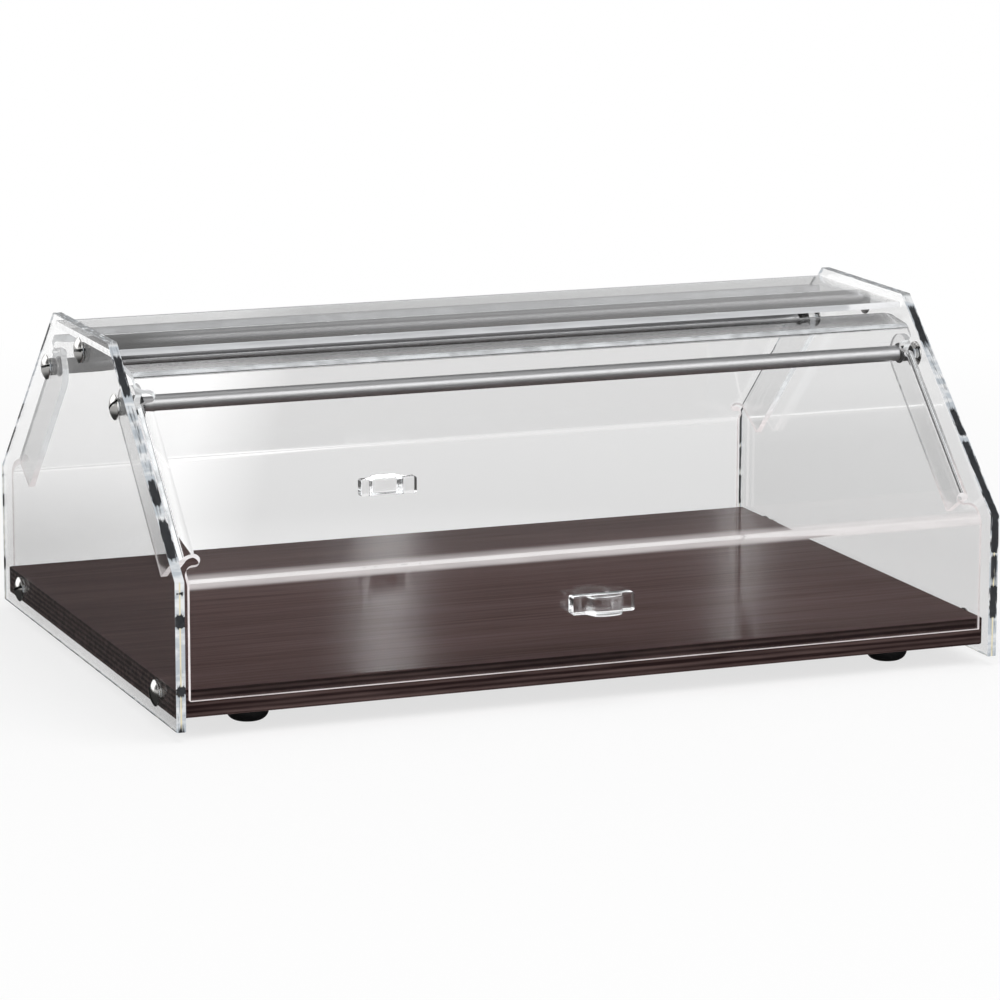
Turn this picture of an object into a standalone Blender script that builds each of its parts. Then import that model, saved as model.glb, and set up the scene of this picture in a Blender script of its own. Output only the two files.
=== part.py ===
# Clear acrylic display case on a dark plywood base, with a bent flap front and rear.
# Metres, +Z up, -Y is the front, X runs along the case. The origin is on the floor
# under the middle of the case.

import math

import bpy
from mathutils import Matrix, Quaternion, Vector

# Overall form
CASE_LENGTH = 0.540
CASE_DEPTH = 0.380
CASE_HEIGHT = 0.218
SHOULDER_HEIGHT = 0.0965
TOP_WIDTH = 0.120
SEAT_GAP = 0.0003
HOLE_CLEARANCE = 0.0004
END_CLEARANCE = 0.004
MERGE_WITHIN = 0.00001

# Side panels
PANEL_THICKNESS = 0.006
PANEL_ABOVE_FLOOR = 0.006

# Feet, their recesses and the screws in them
FOOT_HEIGHT = 0.012
FOOT_RADIUS = 0.013
FOOT_ROUND = 0.0065
FOOT_END_INSET = 0.057
FOOT_FACE_INSET = 0.040
FOOT_WEB = 0.0065
FOOT_HEAD_RADIUS = 0.0036
FOOT_HEAD_HEIGHT = 0.0026
FOOT_HEAD_CLEARANCE = 0.0009
FOOT_SHANK_RADIUS = 0.0018
FOOT_SLOT_WIDTH = 0.0010
FOOT_SLOT_DEPTH = 0.0010
FOOT_HOLE_COVER = 0.0030

# Base board
BASE_THICKNESS = 0.018
BASE_EDGE_ROUND = 0.0015
BASE_SCREW_INSET = 0.040
BASE_SHANK_RADIUS = 0.0020
BASE_SHANK_LENGTH = 0.032

# Top panel
TOP_THICKNESS = 0.004
TOP_RECESS = 0.005

# Flap sheets
SHEET_THICKNESS = 0.004
SKIRT_INSET = 0.004
SKIRT_LAP = 0.007
BEND_BELOW_SHOULDER = 0.0025
BEND_INNER_RADIUS = 0.004
RELIEF_ABOVE_BEND = 0.013
RELIEF_RADIUS = 0.004
RELIEF_PAST_FOLD = 0.0015
FOLD_FLAT = 0.0010
LIP_CLEARANCE = 0.0045
LIP_RISE = 0.0035
LIP_RUN = 0.027
LIP_CORNER_RADIUS = 0.005

# Rods
ROD_RADIUS = 0.005
ROD_EDGE = 0.0005
ROD_BEYOND_TOP = 0.015
ROD_INSIDE_BEND = 0.002
ROD_BELOW_BEND = 0.020

# Arms folded in from the sheets, and the spacers and washers on the hinge screws
ARM_BEHIND_AXIS = 0.0165
ARM_TIP_RADIUS = 0.0139
ARM_BELOW_AXIS = 0.113
ARM_CLEARANCE = 0.0001
SPACER_RADIUS = 0.0055
SPACER_LENGTH = 0.0036
WASHER_RADIUS = 0.0065
WASHER_THICKNESS = 0.0016

# Handles
HANDLE_LENGTH = 0.040
HANDLE_HEIGHT = 0.012
HANDLE_ABOVE_EDGE = 0.0395
HANDLE_END_LENGTH = 0.007
HANDLE_FLANK = 0.005
HANDLE_END_DEPTH = 0.008
HANDLE_GRIP_DEPTH = 0.016
HANDLE_CROWN = 0.0015
HANDLE_EDGE_ROUND = 0.0006

# Screws with a domed and slotted head
HEAD_RADIUS = 0.008
HEAD_RIM = 0.0008
HEAD_HEIGHT = 0.0035
SLOT_WIDTH = 0.0016
SLOT_DEPTH = 0.0014
ROD_SHANK_RADIUS = 0.0025
ROD_SCREW_GRIP = 0.016

# Counts of facets
ROUND_STEPS = 32
SCREW_STEPS = 24
SMALL_STEPS = 16
BEND_STEPS = 6
DOME_STEPS = 4

# Slot angles in degrees about the screw's own axis
ROD_SLOT_ANGLES = {"front": -38.0, "middle": 4.0, "rear": 12.0}
BASE_SLOT_ANGLES = {"front": 62.0, "rear": -25.0}

# Heights that follow from those above
base_top_z = FOOT_HEIGHT + BASE_THICKNESS
base_middle_z = FOOT_HEIGHT + BASE_THICKNESS / 2
top_underside_z = CASE_HEIGHT - TOP_RECESS - TOP_THICKNESS
middle_rod_z = top_underside_z - SEAT_GAP - ROD_RADIUS
lip_edge_z = top_underside_z - LIP_CLEARANCE
upper_bend_z = lip_edge_z - LIP_RISE
lower_bend_z = SHOULDER_HEIGHT - BEND_BELOW_SHOULDER
skirt_bottom_z = base_top_z - SKIRT_LAP
rod_z = upper_bend_z - ROD_BELOW_BEND

# Distances from the case's middle plane, front or rear
skirt_face_y = CASE_DEPTH / 2 - SKIRT_INSET
base_half_depth = skirt_face_y - SHEET_THICKNESS - SEAT_GAP
base_screw_y = CASE_DEPTH / 2 - BASE_SCREW_INSET
foot_y = CASE_DEPTH / 2 - FOOT_FACE_INSET
rod_y = TOP_WIDTH / 2 + ROD_BEYOND_TOP
upper_bend_y = rod_y + ROD_INSIDE_BEND
lip_edge_y = upper_bend_y - LIP_RUN

# Distances along the case
panel_inner_x = CASE_LENGTH / 2 - PANEL_THICKNESS
foot_x = CASE_LENGTH / 2 - FOOT_END_INSET
arm_inset = SEAT_GAP + SPACER_LENGTH + SEAT_GAP
washer_inset = arm_inset + SHEET_THICKNESS + SEAT_GAP
hinge_rod_inset = washer_inset + WASHER_THICKNESS + SEAT_GAP
sheet_half_width = panel_inner_x - arm_inset
bend_outer_radius = BEND_INNER_RADIUS + SHEET_THICKNESS
fold_half_width = sheet_half_width - bend_outer_radius
fold_edge_x = fold_half_width - FOLD_FLAT

# Holes
rod_screw_hole = ROD_SHANK_RADIUS + HOLE_CLEARANCE
base_screw_hole = BASE_SHANK_RADIUS + HOLE_CLEARANCE
foot_screw_hole = FOOT_SHANK_RADIUS + HOLE_CLEARANCE
rod_hole_depth = ROD_SCREW_GRIP + END_CLEARANCE
base_hole_depth = BASE_SHANK_LENGTH - PANEL_THICKNESS - SEAT_GAP + END_CLEARANCE
foot_hole_depth = BASE_THICKNESS - FOOT_HOLE_COVER
foot_recess_radius = FOOT_HEAD_RADIUS + FOOT_HEAD_CLEARANCE
foot_recess_depth = FOOT_HEIGHT - FOOT_WEB

COLOURS = {
    "wood": ((0.060, 0.038, 0.034), 0.45, 0.0, 1.0),
    "clear": ((0.90, 0.93, 0.93), 0.05, 0.0, 0.35),
    "aluminium": ((0.62, 0.63, 0.64), 0.35, 1.0, 1.0),
    "steel": ((0.70, 0.70, 0.70), 0.20, 1.0, 1.0),
    "nylon": ((0.05, 0.05, 0.05), 0.5, 0.0, 1.0),
    "rubber": ((0.012, 0.012, 0.012), 0.6, 0.0, 1.0),
}


def clear_scene():
    for obj in list(bpy.data.objects):
        bpy.data.objects.remove(obj, do_unlink=True)


def new_collection(name, hidden=False):
    made = bpy.data.collections.new(name)
    bpy.context.scene.collection.children.link(made)
    made.hide_render = hidden
    return made


def give_material(obj, kind):
    """One material of its own for each piece."""
    colour, roughness, metallic, alpha = COLOURS[kind]
    made = bpy.data.materials.new(obj.name)
    made.use_nodes = True
    shader = made.node_tree.nodes["Principled BSDF"]
    shader.inputs["Base Color"].default_value = (*colour, 1.0)
    shader.inputs["Roughness"].default_value = roughness
    shader.inputs["Metallic"].default_value = metallic
    shader.inputs["Alpha"].default_value = alpha
    obj.data.materials.append(made)


def smooth(obj):
    for face in obj.data.polygons:
        face.use_smooth = True
    obj.data.set_sharp_from_angle(angle=math.radians(32))


def mesh_object(name, points, faces, group):
    data = bpy.data.meshes.new(name)
    data.from_pydata(points, [], faces)
    obj = bpy.data.objects.new(name, data)
    group.objects.link(obj)
    return obj


def turned(name, profile, steps, group):
    """A profile of radius and height pairs, top to bottom, turned about the object's Z."""
    points = [(radius, 0.0, height) for radius, height in profile]
    data = bpy.data.meshes.new(name)
    data.from_pydata(points, [(i, i + 1) for i in range(len(points) - 1)], [])
    obj = bpy.data.objects.new(name, data)
    group.objects.link(obj)
    turn = obj.modifiers.new("turn", "SCREW")
    turn.axis = "Z"
    turn.angle = math.radians(360)
    turn.steps = steps
    turn.render_steps = steps
    turn.use_merge_vertices = True
    turn.merge_threshold = MERGE_WITHIN
    turn.use_smooth_shade = True
    return obj


def ring_points(radius, steps, centre=(0.0, 0.0)):
    return [
        (
            centre[0] + radius * math.cos(2 * math.pi * i / steps),
            centre[1] + radius * math.sin(2 * math.pi * i / steps),
        )
        for i in range(steps)
    ]


def plate(name, outlines, thickness, group):
    """A flat outline and its holes, filled, with half the thickness on each side."""
    data = bpy.data.curves.new(name, "CURVE")
    data.dimensions = "2D"
    data.fill_mode = "BOTH"
    data.extrude = thickness / 2
    for outline in outlines:
        spline = data.splines.new("POLY")
        spline.points.add(len(outline) - 1)
        for point, (u, v) in zip(spline.points, outline):
            point.co = (u, v, 0.0, 1.0)
        spline.use_cyclic_u = True
    obj = bpy.data.objects.new(name, data)
    group.objects.link(obj)
    return obj


def stand_along_x(obj):
    """Turns the object so that its own X, Y and Z run along world Y, Z and X."""
    obj.rotation_euler = (math.radians(90), 0.0, math.radians(90))


def point_along_x(obj, side):
    """Turns the object so that its own Z runs outward at this end of the case."""
    obj.rotation_euler = (0.0, side * math.radians(90), 0.0)


def cut(obj, cutter):
    made = obj.modifiers.new("cut", "BOOLEAN")
    made.operation = "DIFFERENCE"
    made.solver = "EXACT"
    made.object = cutter


def box_cutter(name, size, cutters):
    x, y, z = (side / 2 for side in size)
    points = [(a * x, b * y, c * z) for a in (-1, 1) for b in (-1, 1) for c in (-1, 1)]
    faces = [(0, 1, 3, 2), (4, 6, 7, 5), (0, 4, 5, 1), (2, 3, 7, 6), (0, 2, 6, 4), (1, 5, 7, 3)]
    obj = mesh_object(name, points, faces, cutters)
    obj.display_type = "WIRE"
    obj.hide_render = True
    return obj


def round_cutter(name, radius, length, cutters):
    obj = turned(
        name,
        [(0.0, length / 2), (radius, length / 2), (radius, -length / 2), (0.0, -length / 2)],
        SCREW_STEPS,
        cutters,
    )
    obj.display_type = "WIRE"
    obj.hide_render = True
    return obj


def make_side_panel(name, side, group):
    y_edge = CASE_DEPTH / 2
    outline = [
        (-y_edge, PANEL_ABOVE_FLOOR),
        (y_edge, PANEL_ABOVE_FLOOR),
        (y_edge, SHOULDER_HEIGHT),
        (TOP_WIDTH / 2, CASE_HEIGHT),
        (-TOP_WIDTH / 2, CASE_HEIGHT),
        (-y_edge, SHOULDER_HEIGHT),
    ]
    rod_places = [(-rod_y, rod_z), (0.0, middle_rod_z), (rod_y, rod_z)]
    base_places = [(-base_screw_y, base_middle_z), (base_screw_y, base_middle_z)]
    holes = [ring_points(rod_screw_hole, SCREW_STEPS, place) for place in rod_places]
    holes += [ring_points(base_screw_hole, SCREW_STEPS, place) for place in base_places]
    obj = plate(name, [outline] + holes, PANEL_THICKNESS, group)
    stand_along_x(obj)
    obj.location = (side * (CASE_LENGTH - PANEL_THICKNESS) / 2, 0.0, 0.0)
    give_material(obj, "clear")


def make_base_board(group, cutters):
    half_length = panel_inner_x - SEAT_GAP
    half_height = BASE_THICKNESS / 2
    points = [
        (a * half_length, b * base_half_depth, c * half_height)
        for a in (-1, 1)
        for b in (-1, 1)
        for c in (-1, 1)
    ]
    faces = [(0, 1, 3, 2), (4, 6, 7, 5), (0, 4, 5, 1), (2, 3, 7, 6), (0, 2, 6, 4), (1, 5, 7, 3)]
    obj = mesh_object("base_board", points, faces, group)
    obj.location = (0.0, 0.0, base_middle_z)
    edges = obj.modifiers.new("eased arrises", "BEVEL")
    edges.width = BASE_EDGE_ROUND
    edges.segments = 3
    edges.limit_method = "ANGLE"
    for end in (-1, 1):
        for row in (-1, 1):
            cutter = round_cutter("base_screw_hole", base_screw_hole, 2 * base_hole_depth, cutters)
            point_along_x(cutter, end)
            cutter.location = (end * half_length, row * base_screw_y, base_middle_z)
            cut(obj, cutter)
            cutter = round_cutter("foot_screw_hole", foot_screw_hole, 2 * foot_hole_depth, cutters)
            cutter.location = (end * foot_x, row * foot_y, FOOT_HEIGHT)
            cut(obj, cutter)
    smooth(obj)
    give_material(obj, "wood")


def make_top_panel(group):
    half_length = panel_inner_x - SEAT_GAP
    outline = [
        (-half_length, -TOP_WIDTH / 2),
        (half_length, -TOP_WIDTH / 2),
        (half_length, TOP_WIDTH / 2),
        (-half_length, TOP_WIDTH / 2),
    ]
    obj = plate("top_panel", [outline], TOP_THICKNESS, group)
    obj.location = (0.0, 0.0, top_underside_z + TOP_THICKNESS / 2)
    give_material(obj, "clear")


def make_rod(name, y, z, inset, group):
    end = panel_inner_x - inset
    profile = [
        (0.0, end - rod_hole_depth),
        (rod_screw_hole, end - rod_hole_depth),
        (rod_screw_hole, end),
        (ROD_RADIUS - ROD_EDGE, end),
        (ROD_RADIUS, end - ROD_EDGE),
    ]
    profile += [(radius, -height) for radius, height in reversed(profile)]
    obj = turned(name, profile, ROUND_STEPS, group)
    point_along_x(obj, 1)
    obj.location = (0.0, y, z)
    give_material(obj, "aluminium")


def bent(corners, radius, steps):
    """The path through these corners, with an arc of this radius at each inner one.

    The arc starts radius * tan(turn / 2) before the corner, on a centre to its inner side.
    """
    path = [corners[0]]
    for before, corner, after in zip(corners, corners[1:], corners[2:]):
        start = math.atan2(corner[1] - before[1], corner[0] - before[0])
        end = math.atan2(after[1] - corner[1], after[0] - corner[0])
        turn = (end - start + math.pi) % (2 * math.pi) - math.pi
        back = radius * math.tan(abs(turn) / 2)
        way = 1 if turn > 0 else -1
        first = (corner[0] - back * math.cos(start), corner[1] - back * math.sin(start))
        centre = (
            first[0] - way * radius * math.sin(start),
            first[1] + way * radius * math.cos(start),
        )
        for i in range(steps + 1):
            angle = start + turn * i / steps
            path.append(
                (
                    centre[0] + way * radius * math.sin(angle),
                    centre[1] - way * radius * math.cos(angle),
                )
            )
    path.append(corners[-1])
    return path


def lip_stations():
    """Distances back from the lip's free edge and how far its rounded corners are drawn in."""
    radius = LIP_CORNER_RADIUS
    turns = [math.radians(90 * i / BEND_STEPS) for i in range(BEND_STEPS + 1)]
    return [(radius * (1 - math.cos(a)), radius * (1 - math.sin(a))) for a in turns]


def slope_direction():
    """Unit vector up the slope, toward the lip, and the slope's outward normal."""
    run = (upper_bend_y - skirt_face_y, upper_bend_z - lower_bend_z)
    length = math.hypot(*run)
    up = (run[0] / length, run[1] / length)
    return up, (up[1], -up[0])


def slope_place(u, v):
    """Where a point lies, seen from the hinge axis, by its way up and out from the slope."""
    up, out = slope_direction()
    return (u * up[0] + v * out[0], u * up[1] + v * out[1])


def slope_share(y, z):
    """The same point's way up and out from the slope, seen from the hinge axis."""
    up, out = slope_direction()
    return (y * up[0] + z * up[1], y * out[0] + z * out[1])


def fold_ends():
    """How far up from the axis the folded edge starts and ends, both below zero."""
    low, face = slope_share(skirt_face_y - rod_y, lower_bend_z - rod_z)
    return low + RELIEF_ABOVE_BEND + 2 * RELIEF_RADIUS, -2 * RELIEF_RADIUS, face


def relief_stations():
    """The slope's rows between its full-width ends: one round notch at each end of the fold.

    Each row is its way up the slope, its half width below it and its half width above it.
    """
    low, high, face = fold_ends()
    edge = fold_edge_x - SEAT_GAP
    centre = edge - RELIEF_PAST_FOLD + RELIEF_RADIUS
    full = math.acos((RELIEF_RADIUS - RELIEF_PAST_FOLD) / RELIEF_RADIUS)
    rows = []
    for i in range(BEND_STEPS + 1):
        turn = -math.pi / 2 + (math.pi / 2 + full) * i / BEND_STEPS
        way = low - RELIEF_RADIUS + RELIEF_RADIUS * math.sin(turn)
        width = centre - RELIEF_RADIUS * math.cos(turn)
        rows.append((way, sheet_half_width if i == 0 else width, width))
    rows += [(high + low - way, above, below) for way, below, above in reversed(rows)]
    return rows


def make_flap_sheet(name, row, hinge, group):
    """An outer face, bent twice and swept along X, thickened inward."""
    path = bent(
        [
            (skirt_face_y, skirt_bottom_z),
            (skirt_face_y, lower_bend_z),
            (upper_bend_y, upper_bend_z),
            (lip_edge_y, lip_edge_z),
        ],
        bend_outer_radius,
        BEND_STEPS,
    )
    middle = BEND_STEPS + 2
    last, edge = path[-2], path[-1]
    length = math.dist(last, edge)
    along = ((edge[0] - last[0]) / length, (edge[1] - last[1]) / length)
    plain = [(y - rod_y, z - rod_z, sheet_half_width, sheet_half_width) for y, z in path[:-1]]
    face = fold_ends()[2]
    rows = plain[:middle]
    rows += [(*slope_place(way, face), below, above) for way, below, above in relief_stations()]
    rows += plain[middle:]
    for back, drawn_in in reversed(lip_stations()):
        width = sheet_half_width - drawn_in
        rows.append(
            (edge[0] - back * along[0] - rod_y, edge[1] - back * along[1] - rod_z, width, width)
        )
    points = []
    lines = []
    for y, z, below, above in rows:
        number = {}
        for x in sorted({-below, -above, above, below}):
            number[x] = len(points)
            points.append((x, row * y, z))
        lines.append([[number[x] for x in sorted(number) if abs(x) <= own] for own in (below, above)])
    faces = []
    for lower, upper in zip(lines, lines[1:]):
        face = lower[1] + list(reversed(upper[0]))
        faces.append(face if row < 0 else list(reversed(face)))
    obj = mesh_object(name, points, faces, group)
    obj.parent = hinge
    thick = obj.modifiers.new("sheet", "SOLIDIFY")
    thick.thickness = SHEET_THICKNESS
    thick.offset = -1.0
    thick.use_even_offset = True
    smooth(obj)
    give_material(obj, "clear")


def make_arm(name, row, side, hinge, group, cutters):
    """A flat arm with a round tip about the hinge, and the fold that joins it to the slope."""
    low, high, face = fold_ends()
    fold = face - bend_outer_radius
    front = face - SHEET_THICKNESS - SEAT_GAP
    back = -ARM_BEHIND_AXIS
    middle = (front + back) / 2
    half = (front - back) / 2
    radius = min(ARM_TIP_RADIUS, half)
    quarter = [math.pi / 2 * i / BEND_STEPS for i in range(BEND_STEPS + 1)]
    tip = [(radius * math.sin(a), middle + half - radius + radius * math.cos(a)) for a in quarter]
    tip += [(radius * math.cos(a), middle - half + radius - radius * math.sin(a)) for a in quarter]
    outline = drop_doubles([(low, fold), (high, fold), (0.0, fold)] + tip + [(-ARM_BELOW_AXIS, back)])
    points = []
    for u, v in outline:
        y, z = slope_place(u, v)
        points.append((side * sheet_half_width, row * y, z))
    faces = [list(range(len(points)))]
    across = [
        (fold_half_width + bend_outer_radius * math.cos(a), fold + bend_outer_radius * math.sin(a))
        for a in quarter[1:]
    ]
    across.append((fold_edge_x, face))
    before = (0, 1)
    for x, v in across:
        after = (len(points), len(points) + 1)
        for u in (low, high):
            y, z = slope_place(u, v)
            points.append((side * x, row * y, z))
        faces.append([before[1], before[0], after[0], after[1]])
        before = after
    if row * side < 0:
        faces = [list(reversed(face)) for face in faces]
    obj = mesh_object(name, points, faces, group)
    obj.parent = hinge
    thick = obj.modifiers.new("sheet", "SOLIDIFY")
    thick.thickness = SHEET_THICKNESS
    thick.offset = -1.0
    thick.use_even_offset = True
    cutter = round_cutter(
        "arm_hole", ROD_SHANK_RADIUS + ARM_CLEARANCE, 4 * SHEET_THICKNESS, cutters
    )
    point_along_x(cutter, side)
    cutter.location = (side * sheet_half_width, row * rod_y, rod_z)
    cut(obj, cutter)
    smooth(obj)
    give_material(obj, "clear")


def drop_doubles(points):
    kept = []
    for point in points:
        if not kept or math.dist(point, kept[-1]) > MERGE_WITHIN:
            kept.append(point)
    return kept


def make_handle(name, row, hinge, group):
    """A solid grip: low ends on the sheet, easing out to a crowned middle."""
    half = HANDLE_LENGTH / 2
    shoulder = half - HANDLE_END_LENGTH
    grip = shoulder - HANDLE_FLANK
    steps = 2 * BEND_STEPS
    flank = []
    for i in range(steps + 1):
        share = i / steps
        ease = share * share * (3 - 2 * share)
        flank.append(
            (
                shoulder + (grip - shoulder) * share,
                HANDLE_END_DEPTH + (HANDLE_GRIP_DEPTH - HANDLE_END_DEPTH) * ease,
            )
        )
    crown = [
        (
            grip * (1 - i / BEND_STEPS),
            HANDLE_GRIP_DEPTH + HANDLE_CROWN * (1 - (1 - i / BEND_STEPS) ** 2),
        )
        for i in range(1, BEND_STEPS + 1)
    ]
    right = [(half, SEAT_GAP), (half, HANDLE_END_DEPTH)] + flank + crown
    left = [(-u, v) for u, v in reversed(right[:-1])]
    outline = [(u, row * (skirt_face_y - rod_y + v)) for u, v in right + left]
    obj = plate(name, [outline], HANDLE_HEIGHT, group)
    obj.parent = hinge
    obj.location = (0.0, 0.0, skirt_bottom_z + HANDLE_ABOVE_EDGE - rod_z)
    weld = obj.modifiers.new("weld", "WELD")
    weld.merge_threshold = MERGE_WITHIN
    edges = obj.modifiers.new("eased arrises", "BEVEL")
    edges.width = HANDLE_EDGE_ROUND
    edges.segments = 2
    edges.limit_method = "ANGLE"
    edges.angle_limit = math.radians(50)
    give_material(obj, "clear")


def dome(radius, rim, height):
    """From the crown to the rim: a cap of a sphere standing on a short upright rim."""
    rise = height - rim
    sphere = (radius * radius + rise * rise) / (2 * rise)
    full = math.asin(radius / sphere)
    return [
        (
            sphere * math.sin(full * i / DOME_STEPS),
            rim + sphere * math.cos(full * i / DOME_STEPS) - (sphere - rise),
        )
        for i in range(DOME_STEPS + 1)
    ]


def make_screw(name, head, shank, slot, place, turn, group, cutters, steps=SCREW_STEPS):
    """A head with its seat at the origin, its shank below, and a slot across the crown."""
    head_radius, rim, head_height = head
    shank_radius, shank_length = shank
    slot_width, slot_depth, slot_angle = slot
    profile = dome(head_radius, rim, head_height)
    profile += [
        (head_radius, 0.0),
        (shank_radius, 0.0),
        (shank_radius, -shank_length + shank_radius),
        (0.0, -shank_length),
    ]
    obj = turned(name, profile, steps, group)
    cutter = box_cutter(
        name + "_slot", (3 * head_radius, slot_width, 2 * slot_depth), cutters
    )
    for piece in (obj, cutter):
        piece.rotation_mode = "QUATERNION"
    obj.rotation_quaternion = turn
    obj.location = place
    tilt = Quaternion((0.0, 0.0, 1.0), math.radians(slot_angle))
    cutter.rotation_quaternion = turn @ tilt
    cutter.location = place + turn @ Vector((0.0, 0.0, head_height))
    cut(obj, cutter)
    give_material(obj, "steel")


def outward(side):
    """The turn that takes a screw's own Z to this end of the case, with its own X upright."""
    toward = Vector((float(side), 0.0, 0.0))
    upright = Vector((0.0, 0.0, 1.0))
    across = toward.cross(upright)
    return Matrix((upright, across, toward)).transposed().to_quaternion()


def make_hinge_screws(group, cutters):
    rows = {"front": (-rod_y, rod_z), "middle": (0.0, middle_rod_z), "rear": (rod_y, rod_z)}
    for side, end_name in ((-1, "left"), (1, "right")):
        for row_name, (y, z) in rows.items():
            reach = PANEL_THICKNESS + SEAT_GAP
            if row_name == "middle":
                reach += SEAT_GAP + ROD_SCREW_GRIP
            else:
                reach += hinge_rod_inset + ROD_SCREW_GRIP
            make_screw(
                f"{row_name}_rod_screw_{end_name}",
                (HEAD_RADIUS, HEAD_RIM, HEAD_HEIGHT),
                (ROD_SHANK_RADIUS, reach),
                (SLOT_WIDTH, SLOT_DEPTH, 90 + side * ROD_SLOT_ANGLES[row_name]),
                Vector((side * (CASE_LENGTH / 2 + SEAT_GAP), y, z)),
                outward(side),
                group,
                cutters,
            )


def make_base_screws(group, cutters):
    for side, end_name in ((-1, "left"), (1, "right")):
        for row, row_name in ((-1, "front"), (1, "rear")):
            make_screw(
                f"base_screw_{row_name}_{end_name}",
                (HEAD_RADIUS, HEAD_RIM, HEAD_HEIGHT),
                (BASE_SHANK_RADIUS, BASE_SHANK_LENGTH),
                (SLOT_WIDTH, SLOT_DEPTH, 90 + side * BASE_SLOT_ANGLES[row_name]),
                Vector((side * (CASE_LENGTH / 2 + SEAT_GAP), row * base_screw_y, base_middle_z)),
                outward(side),
                group,
                cutters,
            )


def make_collar(name, outer, bore, length, side, start, row, group):
    """A plain ring on a hinge screw, starting this far in from the panel's inner face."""
    profile = [
        (bore, length / 2),
        (outer, length / 2),
        (outer, -length / 2),
        (bore, -length / 2),
    ]
    data = bpy.data.meshes.new(name)
    points = [(radius, 0.0, height) for radius, height in profile]
    data.from_pydata(points, [(0, 1), (1, 2), (2, 3), (3, 0)], [])
    obj = bpy.data.objects.new(name, data)
    group.objects.link(obj)
    turn = obj.modifiers.new("turn", "SCREW")
    turn.steps = SCREW_STEPS
    turn.render_steps = SCREW_STEPS
    turn.use_merge_vertices = True
    turn.merge_threshold = MERGE_WITHIN
    turn.use_smooth_shade = True
    point_along_x(obj, side)
    obj.location = (side * (panel_inner_x - start - length / 2), row * rod_y, rod_z)
    give_material(obj, "nylon")


def make_foot(name, x, y, group):
    top = FOOT_HEIGHT - SEAT_GAP
    flat = foot_recess_radius + FOOT_HEAD_CLEARANCE
    rounding = min(FOOT_ROUND, FOOT_RADIUS - flat, top)
    curve = [
        (
            FOOT_RADIUS - rounding + rounding * math.cos(a),
            rounding - rounding * math.sin(a),
        )
        for a in (math.pi / 2 * i / BEND_STEPS for i in range(BEND_STEPS + 1))
    ]
    profile = [(foot_screw_hole, top), (FOOT_RADIUS, top)] + curve
    profile += [
        (foot_recess_radius, 0.0),
        (foot_recess_radius, foot_recess_depth),
        (foot_screw_hole, foot_recess_depth),
    ]
    points = [(radius, 0.0, height) for radius, height in profile]
    data = bpy.data.meshes.new(name)
    count = len(points)
    data.from_pydata(points, [(i, (i + 1) % count) for i in range(count)], [])
    obj = bpy.data.objects.new(name, data)
    group.objects.link(obj)
    turn = obj.modifiers.new("turn", "SCREW")
    turn.steps = SCREW_STEPS
    turn.render_steps = SCREW_STEPS
    turn.use_merge_vertices = True
    turn.merge_threshold = MERGE_WITHIN
    turn.use_smooth_shade = True
    obj.location = (x, y, 0.0)
    give_material(obj, "rubber")


def make_feet(group, cutters):
    for side, end_name in ((-1, "left"), (1, "right")):
        for row, row_name in ((-1, "front"), (1, "rear")):
            x = side * foot_x
            y = row * foot_y
            make_foot(f"foot_{row_name}_{end_name}", x, y, group)
            make_screw(
                f"foot_screw_{row_name}_{end_name}",
                (FOOT_HEAD_RADIUS, HEAD_RIM, FOOT_HEAD_HEIGHT),
                (FOOT_SHANK_RADIUS, FOOT_WEB + foot_hole_depth - END_CLEARANCE),
                (FOOT_SLOT_WIDTH, FOOT_SLOT_DEPTH, 30 * side + 15 * row),
                Vector((x, y, foot_recess_depth - SEAT_GAP)),
                Quaternion((1.0, 0.0, 0.0), math.pi),
                group,
                cutters,
                SMALL_STEPS,
            )


def main():
    clear_scene()
    group = new_collection("display_case")
    cutters = new_collection("cutters", hidden=True)
    make_base_board(group, cutters)
    make_side_panel("left_side_panel", -1, group)
    make_side_panel("right_side_panel", 1, group)
    make_top_panel(group)
    for row, row_name in ((-1, "front"), (1, "rear")):
        make_rod(f"{row_name}_rod", row * rod_y, rod_z, hinge_rod_inset, group)
        hinge = bpy.data.objects.new(f"{row_name}_hinge_axis", None)
        hinge.location = (0.0, row * rod_y, rod_z)
        group.objects.link(hinge)
        make_flap_sheet(f"{row_name}_flap", row, hinge, group)
        make_handle(f"{row_name}_handle", row, hinge, group)
        for side, end_name in ((-1, "left"), (1, "right")):
            make_arm(f"{row_name}_arm_{end_name}", row, side, hinge, group, cutters)
            make_collar(
                f"{row_name}_spacer_{end_name}",
                SPACER_RADIUS,
                rod_screw_hole,
                SPACER_LENGTH,
                side,
                SEAT_GAP,
                row,
                group,
            )
            make_collar(
                f"{row_name}_washer_{end_name}",
                WASHER_RADIUS,
                rod_screw_hole,
                WASHER_THICKNESS,
                side,
                washer_inset,
                row,
                group,
            )
    make_rod("middle_rod", 0.0, middle_rod_z, SEAT_GAP, group)
    make_hinge_screws(group, cutters)
    make_base_screws(group, cutters)
    make_feet(group, cutters)


main()
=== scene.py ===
import math

import bmesh
import bpy
import numpy as np
from mathutils import Matrix, Vector
from mathutils.geometry import tessellate_polygon


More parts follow.
